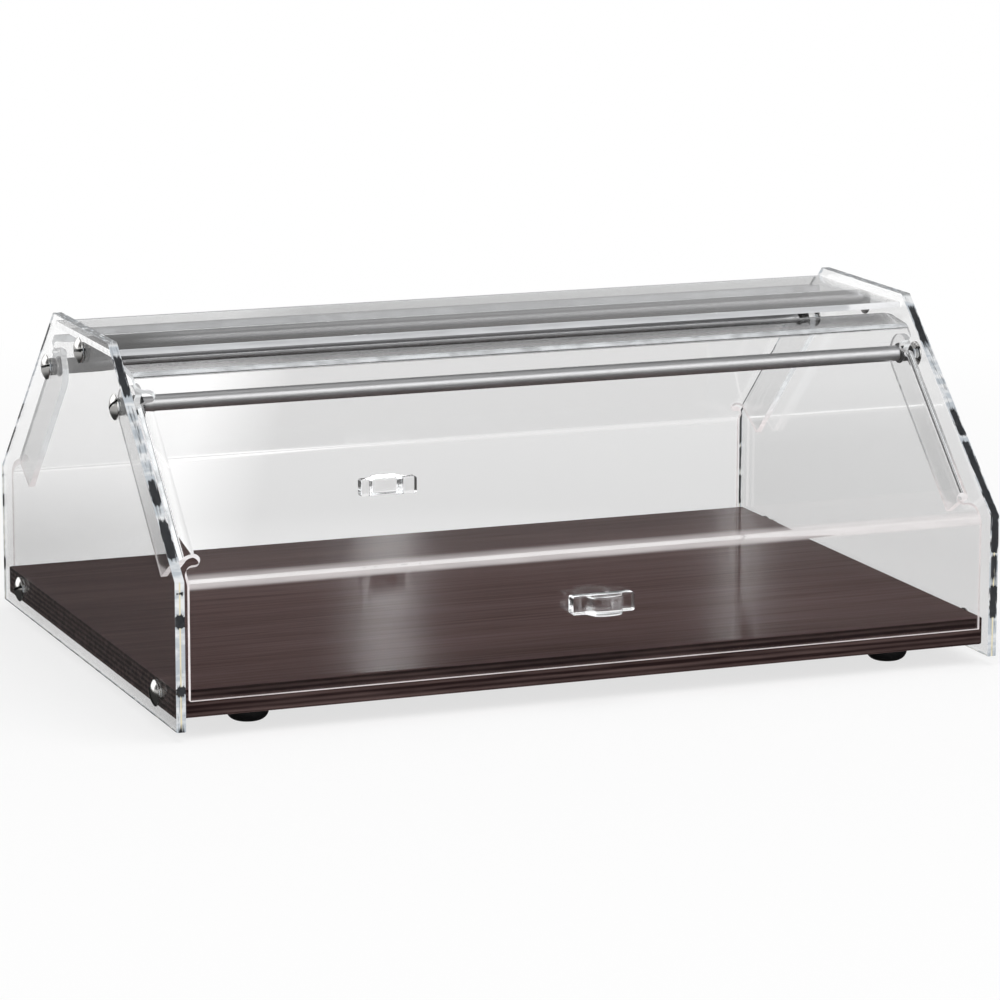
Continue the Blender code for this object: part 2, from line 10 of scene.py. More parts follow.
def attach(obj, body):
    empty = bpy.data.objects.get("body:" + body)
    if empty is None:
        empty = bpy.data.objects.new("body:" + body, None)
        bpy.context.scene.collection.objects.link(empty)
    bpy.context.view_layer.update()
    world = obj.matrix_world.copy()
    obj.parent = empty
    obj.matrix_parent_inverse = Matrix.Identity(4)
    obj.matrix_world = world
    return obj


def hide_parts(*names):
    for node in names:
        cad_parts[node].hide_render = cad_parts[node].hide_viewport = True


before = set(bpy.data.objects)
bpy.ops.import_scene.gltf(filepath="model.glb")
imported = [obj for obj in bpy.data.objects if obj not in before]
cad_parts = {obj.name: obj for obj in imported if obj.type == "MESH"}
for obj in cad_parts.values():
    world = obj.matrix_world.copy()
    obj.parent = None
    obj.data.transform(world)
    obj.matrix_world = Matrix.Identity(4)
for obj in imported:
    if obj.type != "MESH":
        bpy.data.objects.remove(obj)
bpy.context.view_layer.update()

# Sizes shared by the pieces, in metres, as the solids have them
case = {
    "length": 0.540,
    "depth": 0.380,
    "height": 0.218,
    "shoulder": 0.0965,
    "topWidth": 0.120,
    "panel": 0.006,
    "panelAboveFloor": 0.006,
    "baseUnder": 0.012,
    "baseThick": 0.018,
    "baseHalfDepth": 0.1817,
    "baseScrewY": 0.150,
    "rodY": 0.075,
    "rodZ": 0.181,
    "middleRodZ": 0.2037,
    "gap": 0.0003,
    "hole": 0.0029,
    "baseHole": 0.0024,
}
innerX = case["length"] / 2 - case["panel"]
baseMiddleZ = case["baseUnder"] + case["baseThick"] / 2
sideNames = ((-1, "left"), (1, "right"))
rowNames = ((-1, "front"), (1, "rear"))

tiny = 0.00002  # how near its axis a lathe profile ends, under its cap
weldReach = 0.000002
holeParts = 40

flat = [[1, 0, 0], [0, 1, 0], [0, 0, 1]]  # own axes stay as they are
alongX = [[0, 0, 1], [1, 0, 0], [0, 1, 0]]  # a plate's own x, y, z become world y, z, x
lengthwise = [[0, 0, 1], [0, 1, 0], [-1, 0, 0]]  # a lathe's own z points along the case
upsideDown = [[1, 0, 0], [0, -1, 0], [0, 0, -1]]


# An object of this name in the scene, holding this data.
def newObject(name, data):
    made = bpy.data.objects.new(name, data)
    bpy.context.scene.collection.objects.link(made)
    return made


# Smooth shading, except over edges sharper than the angle.
def smoothUpTo(data, sharpAngle):
    data.polygons.foreach_set("use_smooth", np.ones(len(data.polygons), bool))
    data.set_sharp_from_angle(angle=math.radians(sharpAngle))


# A mesh piece from an array of points and a list of faces.
def pieceFromArrays(name, points, faces):
    data = bpy.data.meshes.new(name)
    data.from_pydata(points.tolist(), [], faces)
    data.validate()
    smoothUpTo(data, 25)
    return newObject(name, data)


# What a mesh's points or faces hold, as an array with one row each.
def rowsOf(items, attribute, width, kind=float):
    values = np.empty(len(items) * width, kind)
    items.foreach_get(attribute, values)
    return values.reshape(-1, width)


# Quads over a rows by columns grid of points, row after row, closed where asked.
def gridFaces(rows, columns, closeRows=False, closeColumns=False):
    i = np.arange(rows if closeRows else rows - 1)[:, None]
    j = np.arange(columns if closeColumns else columns - 1)[None, :]
    nextI, nextJ = (i + 1) % rows, (j + 1) % columns
    corners = [i * columns + j, nextI * columns + j, nextI * columns + nextJ, i * columns + nextJ]
    quads = np.stack([np.broadcast_to(c, (len(i), j.shape[1])) for c in corners], -1)
    return quads.reshape(-1, 4).tolist()


# Turns the faces round if the signed volume, the sum of a . (b x c) / 6, is negative.
def faceOutward(piece):
    data = piece.data
    data.calc_loop_triangles()
    corners = rowsOf(data.loop_triangles, "vertices", 3, int)
    a, b, c = rowsOf(data.vertices, "co", 3)[corners].swapaxes(0, 1)
    if np.einsum("ij,ij->i", a, np.cross(b, c)).sum() < 0:
        data.flip_normals()


# A lathe form: each profile point (r, h) goes round the axis, x = r cos t, y = r sin t, z = h,
# for t from 0 to a full turn, is turned by axisTurn and set down at place. An open profile is
# capped at both ends, a closed one is a ring.
def turnedPiece(name, profile, around, axisTurn, place, closed=False):
    t = np.linspace(0, 2 * np.pi, around, endpoint=False)
    r, h = np.asarray(profile, float).T
    swept = [np.outer(r, np.cos(t)), np.outer(r, np.sin(t)), np.repeat(h[:, None], around, 1)]
    points = np.stack(swept, -1).reshape(-1, 3) @ np.asarray(axisTurn).T + np.asarray(place)
    faces = gridFaces(len(r), around, closeRows=closed, closeColumns=True)
    if not closed:
        faces.append(list(range(around)))
        faces.append(list(range((len(r) - 1) * around, len(r) * around))[::-1])
    piece = pieceFromArrays(name, points, faces)
    faceOutward(piece)
    return piece


# Points (cx + r cos t, cy + r sin t) for t round a full turn.
def circle(radius, centre=(0.0, 0.0)):
    t = np.linspace(0, 2 * np.pi, holeParts, endpoint=False)
    return np.stack([centre[0] + radius * np.cos(t), centre[1] + radius * np.sin(t)], -1)


# The corner (r, h) of a profile rounded by e: (r - e + e sin a, h - e + e cos a), a from 0
# to 90 degrees.
def easedCorner(r, h, e, count=5):
    a = np.linspace(0, np.pi / 2, count)
    return np.stack([r - e + e * np.sin(a), h - e + e * np.cos(a)], -1)


# The mesh of a curve or of a piece with its modifiers applied.
def evaluatedMesh(piece):
    bpy.context.view_layer.update()
    live = piece.evaluated_get(bpy.context.evaluated_depsgraph_get())
    return bpy.data.meshes.new_from_object(live)


def applyModifiers(piece):
    data = evaluatedMesh(piece)
    data.name = piece.data.name
    piece.modifiers.clear()
    piece.data = data


# Puts a mesh in its place: its own axes become the columns of turn, its origin place.
def setDown(data, turn, place):
    matrix = Matrix(np.asarray(turn).tolist()).to_4x4()
    matrix.translation = place
    data.transform(matrix)


# Joins the points that caps and sides share, and turns the faces one way.
def weldSeams(piece):
    work = bmesh.new()
    work.from_mesh(piece.data)
    bmesh.ops.remove_doubles(work, verts=work.verts, dist=weldReach)
    bmesh.ops.recalc_face_normals(work, faces=work.faces)
    piece.data = bpy.data.meshes.new(piece.name)
    work.to_mesh(piece.data)
    work.free()


# Normals that lean to the larger faces, so that flat sheets stay flat.
def evenShading(piece, sharpAngle):
    smoothUpTo(piece.data, sharpAngle)
    weights = piece.modifiers.new("normals", "WEIGHTED_NORMAL")
    weights.weight = 100
    weights.keep_sharp = True
    applyModifiers(piece)


# A flat outline with its holes, as thick as given, its arrises rounded by this radius.
# A 2D curve fills it, and its mesh is then turned and set down.
def platePiece(name, outlines, thickness, arris, turn, place, rings=2, sharpAngle=35):
    curve = bpy.data.curves.new(name, "CURVE")
    curve.dimensions = "2D"
    curve.fill_mode = "BOTH"
    curve.extrude = thickness / 2 - arris
    curve.bevel_depth = arris
    curve.bevel_resolution = rings
    curve.offset = -arris
    for outline in outlines:
        line = curve.splines.new("POLY")
        line.points.add(len(outline) - 1)
        weights = np.tile([0.0, 1.0], (len(outline), 1))
        line.points.foreach_set("co", np.hstack([outline, weights]).ravel())
        line.use_cyclic_u = True
    holder = newObject(name + "_curve", curve)
    data = evaluatedMesh(holder)
    bpy.data.objects.remove(holder, do_unlink=True)
    setDown(data, turn, place)
    piece = newObject(name, data)
    weldSeams(piece)
    faceOutward(piece)
    evenShading(piece, sharpAngle)
    return piece


# Straight runs joined by arcs: each arc starts radius * tan(turn / 2) before its corner
# and its points are centre + radius * (sin, -cos) of the running direction.
def bentPath(corners, radius, parts):
    path = [np.array(corners[0])]
    for before, corner, after in zip(corners, corners[1:], corners[2:]):
        before, corner, after = map(np.array, (before, corner, after))
        start = math.atan2(*(corner - before)[::-1])
        turn = (math.atan2(*(after - corner)[::-1]) - start + math.pi) % (2 * math.pi) - math.pi
        way = math.copysign(1, turn)
        along = np.array([math.cos(start), math.sin(start)])
        first = corner - radius * math.tan(abs(turn) / 2) * along
        centre = first + way * radius * np.array([-along[1], along[0]])
        angle = start + turn * np.linspace(0, 1, parts + 1)
        path.extend(centre + way * radius * np.stack([np.sin(angle), -np.cos(angle)], -1))
    path.append(np.array(corners[-1]))
    return np.array(path)


# Marks faces in the mesh's own attribute, 1 where flags is true.
def markFaces(data, attribute, flags):
    marked = data.attributes.new(attribute, "FLOAT", "FACE")
    marked.data.foreach_set("value", np.asarray(flags, float))


# Marks the faces that don't look along the given axis as cut edges.
def markRim(piece, axis):
    level = np.abs(rowsOf(piece.data.polygons, "normal", 3)[:, axis])
    markFaces(piece.data, "rim", level < 0.8)


# Gives a finished piece its material and its body, and hides the solid it stands for.
def fit(piece, material, body, nodes):
    piece.data.materials.clear()
    piece.data.materials.append(material)
    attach(piece, body)
    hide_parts(*([nodes] if isinstance(nodes, str) else nodes))


# Materials


# Links an input to another node's output, or sets it to a plain value.
def feed(tree, socket, value):
    if isinstance(value, bpy.types.NodeSocket):
        tree.links.new(value, socket)
    else:
        socket.default_value = value


# A shader node with these properties and these inputs.
def node(tree, kind, inputs=None, **settings):
    made = tree.nodes.new("ShaderNode" + kind)
    for key, value in settings.items():
        setattr(made, key, value)
    for key, value in (inputs or {}).items():
        feed(tree, made.inputs[key], value)
    return made


# A new material, its node tree and its main shader with these inputs set.
def newMaterial(name, inputs):
    made = bpy.data.materials.new(name)
    made.use_nodes = True
    shader = made.node_tree.nodes["Principled BSDF"]
    for key, value in inputs.items():
        shader.inputs[key].default_value = value
    return made, made.node_tree, shader


# The place on the piece, in its own coordinates.
def ownPlace(tree):
    return node(tree, "TexCoord").outputs["Object"]


# The X, Y and Z of a vector.
def partsOf(tree, vector):
    return node(tree, "SeparateXYZ", {"Vector": vector}).outputs


# Noise with this many waves to the metre along each axis.
def noise(tree, place, waves, detail, roughness=0.5, distortion=0.0):
    stretched = node(tree, "Mapping", {"Vector": place, "Scale": waves}).outputs["Vector"]
    look = {"Scale": 1.0, "Detail": detail, "Roughness": roughness, "Distortion": distortion}
    return node(tree, "TexNoise", {"Vector": stretched} | look).outputs["Fac"]


# One piece of arithmetic on sockets or numbers.
def maths(tree, operation, *values):
    return node(tree, "Math", dict(enumerate(values)), operation=operation).outputs["Value"]


# A value's run from low to high spread over toLow to toHigh, and level beyond.
def ranged(tree, value, low, high, toLow=0.0, toHigh=1.0):
    inputs = {"Value": value, "From Min": low, "From Max": high, "To Min": toLow, "To Max": toHigh}
    return node(tree, "MapRange", inputs).outputs["Result"]


# low where the factor is 0 and high where it is 1.
def blend(tree, factor, low, high):
    return ranged(tree, factor, 0.0, 1.0, low, high)


# first where the factor is 0 and second where it is 1, as colours or as plain values.
def mixed(tree, factor, first, second, kind="RGBA"):
    inputs = {"Factor": factor, "A": first, "B": second}
    return node(tree, "Mix", inputs, data_type=kind).outputs["Result"]


# A colour read off (place, colour) stops.
def ramp(tree, value, stops):
    made = node(tree, "ValToRGB", {"Fac": value})
    while len(made.color_ramp.elements) < len(stops):
        made.color_ramp.elements.new(1.0)
    for element, (place, colour) in zip(made.color_ramp.elements, stops):
        element.position = place
        element.color = colour
    return made.outputs["Color"]


# A value read off a table of (place, level) stops, with straight runs between them.
def steps(tree, value, stops, peak=1.3, reach=1.0):
    share = maths(tree, "DIVIDE", value, reach)
    greys = [(place / reach, (*[level / peak] * 3, 1)) for place, level in stops]
    return maths(tree, "MULTIPLY", ramp(tree, share, greys), peak)


# Fine relief on the shader: strength, and depth in metres.
def roughen(tree, shader, height, strength, distance):
    made = node(tree, "Bump", {"Height": height, "Strength": strength, "Distance": distance})
    feed(tree, shader.inputs["Normal"], made.outputs["Normal"])


# Shows the first shader where the factor is 0 and the second where it is 1.
def showMixed(tree, factor, first, second, output="Material Output"):
    mix = node(tree, "MixShader", {0: factor, 1: first, 2: second})
    feed(tree, tree.nodes[output].inputs["Surface"], mix.outputs["Shader"])


# Clear sheet: a glow painted on as emission, at a level in the given range, where light has
# bounced often between its faces, and "rim" how much of the painted light and shade on its cut
# edges covers the glass
acrylicLooks = {
    "panel": {"scratches": 0.015, "paintedGlowRange": (0.22, 0.42), "rim": 0.96},
    "flap": {"scratches": 0.015, "paintedGlowRange": (0.30, 0.55), "rim": 0.80},
    "top": {"scratches": 0.015, "paintedGlowRange": (0.30, 0.42), "rim": 0.60},
    "handle": {"scratches": 0.012, "paintedGlowRange": (0.45, 0.85), "rim": 0.0},
}
acrylic = {
    "colour": (0.995, 0.995, 0.995, 1.0),
    "glow": (0.95, 0.98, 1.0, 1.0),
    "index": 1.49,
    "bounces": 3.5,
    "haze": (14, 14, 14),
    "streaks": (90, 90, 90),
    "fine": (30, 220, 220),
}

# The cut edges' painted light and shade, shown as emission, and tables of (height, darkness) of
# painted shade up the panels' edges
paintedEdgeLight = {
    "flap": (0.93, 0.86, 0.86, 1.0),
    "flapHigh": (0.80, 0.81, 0.82, 1.0),
    "flapHighShare": 0.45,
    "flapTurn": (0.100, 0.125),
    # A painted highlight band along the flap's bends: its colour, how much of it covers the glass
    # by height, and how much less behind
    "bend": (0.87, 0.82, 0.82, 1.0),
    "bendHighlightShare": [(0.0, 0.0), (0.0896, 0.0), (0.0910, 0.36), (0.0955, 0.36), (0.0972, 0.0)],
    "bendRear": 0.15,
    # A painted grey shade in the glass by the flap's lip, and the heights where it starts
    "lip": (0.45, 0.45, 0.455, 1.0),
    "lipTurn": (0.1978, 0.1992),
    "top": (0.62, 0.63, 0.65, 1.0),
    # A painted highlight on the top panel's cut ends, brighter than white
    "topEndHighlight": (1.4, 1.4, 1.4, 1.0),
    "topEndShare": 0.9,
    "topEndTurn": (0.2630, 0.2634),
    "pale": (0.50, 0.54, 0.58, 1.0),
    "light": (0.82, 0.83, 0.84, 1.0),
    "line": (0.80, 0.72, 0.50, 1.0),
    "dark": (0.016, 0.017, 0.020, 1.0),
    "crest": (0.29, 0.295, 0.30, 1.0),
    "crestTurn": (0.2160, 0.2176),
    "slopeTurn": (0.0955, 0.0970),
    "speckle": (900, 110, 110),
    "bands": (60, 150, 150),
    "reach": 0.22,
    "upright": [
        (0.0, 1.0), (0.012, 0.3), (0.026, 0.3), (0.028, 1.3), (0.033, 1.3), (0.035, 0.3),
        (0.060, 0.1), (0.068, 0.12), (0.070, 1.3), (0.076, 1.3), (0.078, 0.1), (0.088, 0.1),
        (0.090, 1.0), (0.091, 0.1),
    ],
    "uprightRight": [
        (0.0, 0.3), (0.030, 0.3), (0.032, 1.1), (0.050, 1.1), (0.052, 0.3), (0.058, 0.9),
        (0.070, 0.9), (0.072, 0.2), (0.074, 1.1), (0.0965, 1.15),
    ],
    "slope": [
        (0.0965, 0.1), (0.106, 0.15), (0.1085, 1.25), (0.1255, 1.25), (0.129, 0.3),
        (0.1335, 0.3), (0.1355, 1.2), (0.145, 1.2), (0.1475, 0.1), (0.149, 0.35), (0.170, 0.4),
        (0.185, 0.4), (0.1875, 0.2), (0.1905, 1.1), (0.209, 1.1), (0.2115, 0.3), (0.218, 0.25),
    ],
    "slopeRight": [
        (0.0965, 1.0), (0.135, 1.0), (0.1365, 0.3), (0.139, 0.3), (0.1405, 1.1), (0.152, 1.0),
        (0.155, 0.3), (0.187, 0.4), (0.191, 1.0), (0.209, 1.0), (0.2115, 0.3), (0.218, 0.25),
    ],
}


# The light and shade painted on a panel's cut edge: pale painted sides, a core of painted shade
# that goes from pale to near-black by height as the tables say, broken up by noise, and a thin
# warm painted line of light down the middle of upright edges.
def paintedPanelRim(tree, place, x, z):
    look = paintedEdgeLight
    middle = case["length"] / 2 - case["panel"] / 2
    across = maths(tree, "SUBTRACT", maths(tree, "ABSOLUTE", x), middle)
    off = ranged(tree, maths(tree, "ABSOLUTE", across), 0.0, case["panel"] / 2)
    speckle = noise(tree, place, look["speckle"], 4)
    bands = noise(tree, place, look["bands"], 3)
    wobble = maths(tree, "MULTIPLY_ADD", bands, 0.006, maths(tree, "ADD", z, -0.003))
    isRight = ranged(tree, x, -0.01, 0.01)
    isSlope = ranged(tree, z, *look["slopeTurn"])
    isTop = ranged(tree, z, *look["crestTurn"])
    upright, uprightRight, slope, slopeRight = (
        steps(tree, wobble, look[table], reach=look["reach"])
        for table in ("upright", "uprightRight", "slope", "slopeRight")
    )
    upright = blend(tree, isRight, upright, uprightRight)
    slope = blend(tree, isRight, slope, slopeRight)
    specks = ranged(tree, speckle, 0.35, 0.65, -0.24, 0.24)
    dark = maths(tree, "ADD", blend(tree, isSlope, upright, slope), specks)
    wider = maths(tree, "MAXIMUM", maths(tree, "MULTIPLY_ADD", dark, 1.6, -1.6), 0.0)
    core = ranged(tree, maths(tree, "SUBTRACT", off, wider), 0.82, 0.60)
    core = maths(tree, "MULTIPLY", core, ranged(tree, dark, 0.35, 0.75))
    core = maths(tree, "MULTIPLY", core, maths(tree, "SUBTRACT", 1.0, isTop))
    pale = mixed(tree, ranged(tree, bands, 0.45, 0.62), look["pale"], look["light"])
    crest = maths(tree, "MULTIPLY", isTop, ranged(tree, speckle, 0.62, 0.52))
    pale = mixed(tree, crest, pale, look["crest"])
    isUpright = maths(tree, "SUBTRACT", 1.0, isSlope)
    line = maths(tree, "MULTIPLY", ranged(tree, off, 0.22, 0.10), isUpright)
    return mixed(tree, core, mixed(tree, line, pale, look["line"]), look["dark"])


# Cast acrylic, clear and polished, with a faint haze. Where a ray has made more than three glossy
# bounces, a streaked glow is painted on as emission. The mesh's own "rim" attribute is 1 on the
# cut edges.
def clearAcrylic(name, kind):
    look = acrylicLooks[kind]
    settings = {"Base Color": acrylic["colour"], "IOR": acrylic["index"]}
    settings |= {"Transmission Weight": 1.0, "Emission Color": acrylic["glow"]}
    made, tree, shader = newMaterial(name, settings)
    place = ownPlace(tree)
    haze = ranged(tree, noise(tree, place, acrylic["haze"], 6), 0.5, 0.85, 0.0, look["scratches"])
    feed(tree, shader.inputs["Roughness"], haze)
    path = node(tree, "LightPath").outputs
    # A painted glow, as emission, where the ray has made more than three glossy bounces
    manyBounces = maths(tree, "GREATER_THAN", path["Glossy Depth"], acrylic["bounces"])
    glow = ranged(tree, noise(tree, place, acrylic["streaks"], 3), 0.38, 0.55, *look["paintedGlowRange"])
    feed(tree, shader.inputs["Emission Strength"], maths(tree, "MULTIPLY", manyBounces, glow))
    if look["rim"] == 0:
        return made
    # The cut edges show painted light and shade as emission, covering the glass by the rim share
    rim = node(tree, "Attribute", attribute_name="rim").outputs["Fac"]
    share, strength = look["rim"], 1.0
    parts = partsOf(tree, place)
    if kind == "panel":
        colour = paintedPanelRim(tree, place, parts["X"], parts["Z"])
    else:
        strength = ranged(tree, noise(tree, place, acrylic["fine"], 3), 0.35, 0.6, 0.82, 1.0)
    # The top panel's cut ends get a painted highlight, brighter than white
    if kind == "top":
        end = ranged(tree, maths(tree, "ABSOLUTE", parts["X"]), *paintedEdgeLight["topEndTurn"])
        share = blend(tree, end, share, paintedEdgeLight["topEndShare"])
        colour = mixed(tree, end, paintedEdgeLight["top"], paintedEdgeLight["topEndHighlight"])
    if kind == "flap":
        # The flap's cut edges show painted light, one colour low down and a greyer one, covering
        # less, higher up
        high = ranged(tree, parts["Z"], *paintedEdgeLight["flapTurn"])
        share = blend(tree, high, share, share * paintedEdgeLight["flapHighShare"])
        colour = mixed(tree, high, paintedEdgeLight["flap"], paintedEdgeLight["flapHigh"])
        # Faces that aren't cut edges take the colour of the bends' painted highlight
        colour = mixed(tree, rim, paintedEdgeLight["bend"], colour)
        # The glass by the lip is tinted grey, a painted shade
        lip = ranged(tree, parts["Z"], *paintedEdgeLight["lipTurn"])
        paintedLipShade = mixed(tree, lip, acrylic["colour"], paintedEdgeLight["lip"])
        feed(tree, shader.inputs["Base Color"], paintedLipShade)
    covered = maths(tree, "MULTIPLY", rim, share)
    # The painted highlight band along the bends, weaker on the rear flap
    if kind == "flap":
        bend = steps(tree, parts["Z"], paintedEdgeLight["bendHighlightShare"], reach=paintedEdgeLight["reach"])
        fade = ranged(tree, parts["Y"], 0.0, 0.01, 1.0, paintedEdgeLight["bendRear"])
        covered = maths(tree, "MAXIMUM", covered, maths(tree, "MULTIPLY", bend, fade))
    edge = node(tree, "Emission", {"Color": colour, "Strength": strength})
    showMixed(tree, covered, shader.outputs["BSDF"], edge.outputs["Emission"])
    return made


woodLook = {
    "dark": (0.116, 0.074, 0.071, 1.0),
    "light": (0.198, 0.130, 0.125, 1.0),
    "faceStops": (0.34, 0.68),
    "grain": (9, 260, 260),
    "broad": (2.2, 26, 26),
    "broadShare": 0.35,
    "plyDark": (0.026, 0.015, 0.015, 1.0),
    "plyLight": (0.125, 0.085, 0.080, 1.0),
    "plyStops": (0.36, 0.78),
    "plyWave": 0.13,
    "plies": 11,
    "edgeTurn": (0.75, 0.45),
    "roughness": (0.08, 0.14),
    "specular": 0.0035,
    "relief": (0.12, 0.0002),
}


# Fine dark grain along the board. Faces that aren't level show the plies instead, a sine
# wave in height broken up by the grain.
def wengePlywood(name):
    look = woodLook
    made, tree, shader = newMaterial(name, {"Specular IOR Level": look["specular"]})
    place = ownPlace(tree)
    grain = noise(tree, place, look["grain"], 8, roughness=0.6, distortion=0.3)
    broad = noise(tree, place, look["broad"], 3)
    both = mixed(tree, look["broadShare"], grain, broad, kind="FLOAT")
    face = ramp(tree, both, list(zip(look["faceStops"], (look["dark"], look["light"]))))
    waves = look["plies"] * math.pi / case["baseThick"]
    wave = maths(tree, "SINE", maths(tree, "MULTIPLY", partsOf(tree, place)["Z"], waves))
    wave = maths(tree, "MULTIPLY_ADD", wave, look["plyWave"], grain)
    ply = ramp(tree, wave, list(zip(look["plyStops"], (look["plyDark"], look["plyLight"]))))
    facing = partsOf(tree, node(tree, "NewGeometry").outputs["True Normal"])
    edge = ranged(tree, maths(tree, "ABSOLUTE", facing["Z"]), *look["edgeTurn"])
    feed(tree, shader.inputs["Base Color"], mixed(tree, edge, face, ply))
    feed(tree, shader.inputs["Roughness"], blend(tree, grain, *look["roughness"]))
    roughen(tree, shader, grain, *look["relief"])
    return made


metalLooks = {
    "rod": {
        "colour": (0.82, 0.82, 0.83, 1.0), "roughness": (0.32, 0.40),
        "lines": (40, 900, 900), "paintedShade": None,
    },
    # A darker copy of the rods' aluminium, painted shade for the rods behind, darker still toward
    # their left ends
    "shadedRod": {
        "colour": (0.55, 0.55, 0.56, 1.0), "roughness": (0.20, 0.26),
        "lines": (40, 900, 900), "paintedShade": (-0.20, -0.24),
    },
    "screw": {
        "colour": (0.72, 0.71, 0.69, 1.0), "roughness": (0.10, 0.22),
        "lines": (90, 90, 90), "paintedShade": "slot",
    },
}
metalRelief = (0.02, 0.00001)
metalShade = (0.02, 0.02, 0.02, 1.0)


# Bare metal whose roughness wavers in fine lines. Painted shade makes it nearly black in the
# screws' slots, by the mesh's own attribute, or toward the left end of the rods behind, by X.
def brushedMetal(name, kind):
    look = metalLooks[kind]
    made, tree, shader = newMaterial(name, {"Base Color": look["colour"], "Metallic": 1.0})
    place = ownPlace(tree)
    lines = noise(tree, place, look["lines"], 5)
    feed(tree, shader.inputs["Roughness"], blend(tree, lines, *look["roughness"]))
    roughen(tree, shader, lines, *metalRelief)
    if not look["paintedShade"]:
        return made
    if look["paintedShade"] == "slot":
        paintedShade = node(tree, "Attribute", attribute_name="slot").outputs["Fac"]
    else:
        paintedShade = ranged(tree, partsOf(tree, place)["X"], *look["paintedShade"])
    feed(tree, shader.inputs["Base Color"], mixed(tree, paintedShade, look["colour"], metalShade))
    return made


softLooks = {
    "rubber": {
        "colour": (0.010, 0.010, 0.011, 1.0), "roughness": (0.45, 0.65), "grain": (900, 900, 900),
    },
    "nylon": {
        "colour": (0.030, 0.030, 0.031, 1.0), "roughness": (0.35, 0.5), "grain": (600, 600, 600),
    },
}
mouldedRelief = (0.15, 0.0001)


# Black rubber or nylon with a fine moulded grain.
def mouldedBlack(name, kind):
    look = softLooks[kind]
    made, tree, shader = newMaterial(name, {"Base Color": look["colour"]})
    grain = noise(tree, ownPlace(tree), look["grain"], 4)
    feed(tree, shader.inputs["Roughness"], blend(tree, grain, *look["roughness"]))
    roughen(tree, shader, grain, *mouldedRelief)
    return made


panelAcrylic = clearAcrylic("panelAcrylic", "panel")
flapAcrylic = clearAcrylic("flapAcrylic", "flap")
topAcrylic = clearAcrylic("topAcrylic", "top")
handleAcrylic = clearAcrylic("handleAcrylic", "handle")
wood = wengePlywood("wengePlywood")
rodMetal = brushedMetal("satinAluminium", "rod")
shadedRodMetal = brushedMetal("shadedAluminium", "shadedRod")
screwMetal = brushedMetal("polishedSteel", "screw")
rubber = mouldedBlack("blackRubber", "rubber")
nylon = mouldedBlack("darkNylon", "nylon")
print("materials done")

# Side panels

panelShape = {"arris": 0.00035}


# Chamfered upright sheet with five screw holes.
def makeSidePanel(side, name):
    y, low, shoulder = case["depth"] / 2, case["panelAboveFloor"], case["shoulder"]
    t, top = case["topWidth"] / 2, case["height"]
    outline = [(-y, low), (y, low), (y, shoulder), (t, top), (-t, top), (-y, shoulder)]
    outline = np.array(outline)
    rodY, rodZ = case["rodY"], case["rodZ"]
    rodPlaces = ((-rodY, rodZ), (0, case["middleRodZ"]), (rodY, rodZ))
    holes = [circle(case["hole"], rodPlace) for rodPlace in rodPlaces]
    for row, _ in rowNames:
        holes.append(circle(case["baseHole"], (row * case["baseScrewY"], baseMiddleZ)))
    place = (side * (case["length"] - case["panel"]) / 2, 0, 0)
    piece = platePiece(
        name + "_sheet", [outline] + holes, case["panel"], panelShape["arris"], alongX, place
    )
    markRim(piece, 0)
    fit(piece, panelAcrylic, "case", name)


for side, sideName in sideNames:
    makeSidePanel(side, sideName + "_side_panel")
print("side panels done")

# Base board

baseShape = {"round": 0.0014, "rings": 4}


# The corners of a rectangle between the side panels, reaching this far to front and rear.
def betweenPanels(y):
    x = innerX - case["gap"]
    return np.array([(-x, -y), (x, -y), (x, y), (-x, y)])


# Plywood board with eased arrises along its long edges.
def makeBaseBoard():
    outline = betweenPanels(case["baseHalfDepth"])
    thick, ease, rings = case["baseThick"], baseShape["round"], baseShape["rings"]
    place = (0, 0, baseMiddleZ)
    piece = platePiece("base_board_ply", [outline], thick, ease, flat, place, rings)
    fit(piece, wood, "case", "base_board")


makeBaseBoard()
print("base board done")

# Top panel

topShape = {"thick": 0.004, "underside": 0.209, "arris": 0.0003}


# Clear sheet let in between the side panels.
def makeTopPanel():
    s = topShape
    outline = betweenPanels(case["topWidth"] / 2)
    place = (0, 0, s["underside"] + s["thick"] / 2)
    piece = platePiece("top_panel_sheet", [outline], s["thick"], s["arris"], flat, place)
    markRim(piece, 2)
    fit(piece, topAcrylic, "case", "top_panel")


makeTopPanel()
print("top panel done")

# Flaps, each one bent sheet with a folded arm at each end

flapShape = {
    "thick": 0.004,
    "faceY": 0.186,
    "bottom": 0.023,
    "lowerBend": 0.094,
    "upperBendY": 0.077,
    "upperBendZ": 0.201,
    "lipY": 0.050,
    "lipZ": 0.2045,
    "bendInside": 0.004,
    "bendParts": 24,
    "halfWidth": 0.2598,
    "corner": 0.005,
    "arris": 0.0003,
    "reliefAboveBend": 0.013,
    "reliefRound": 0.004,
    "reliefCorner": 0.0055,
    "reliefPastFold": 0.0025,
    "reliefStep": 0.00003,
    "armBehind": 0.0165,
    "armBelow": 0.113,
    "armTip": 0.0139,
    "armBore": 0.0026,
}


# Unit vectors up the slope and out of it, in (y, z) of the rear half, how far the slope's outer
# face stands out from the hinge axis, and how far below it up the slope the lower bend is: the
# corners' offsets times the vectors.
def slopeVectors():
    s = flapShape
    run = np.array([s["upperBendY"] - s["faceY"], s["upperBendZ"] - s["lowerBend"]])
    up = run / np.linalg.norm(run)
    out = np.array([up[1], -up[0]])
    corner = np.array([s["upperBendY"] - case["rodY"], s["upperBendZ"] - case["rodZ"]])
    return up, out, float(corner @ out), float((corner - run) @ up)


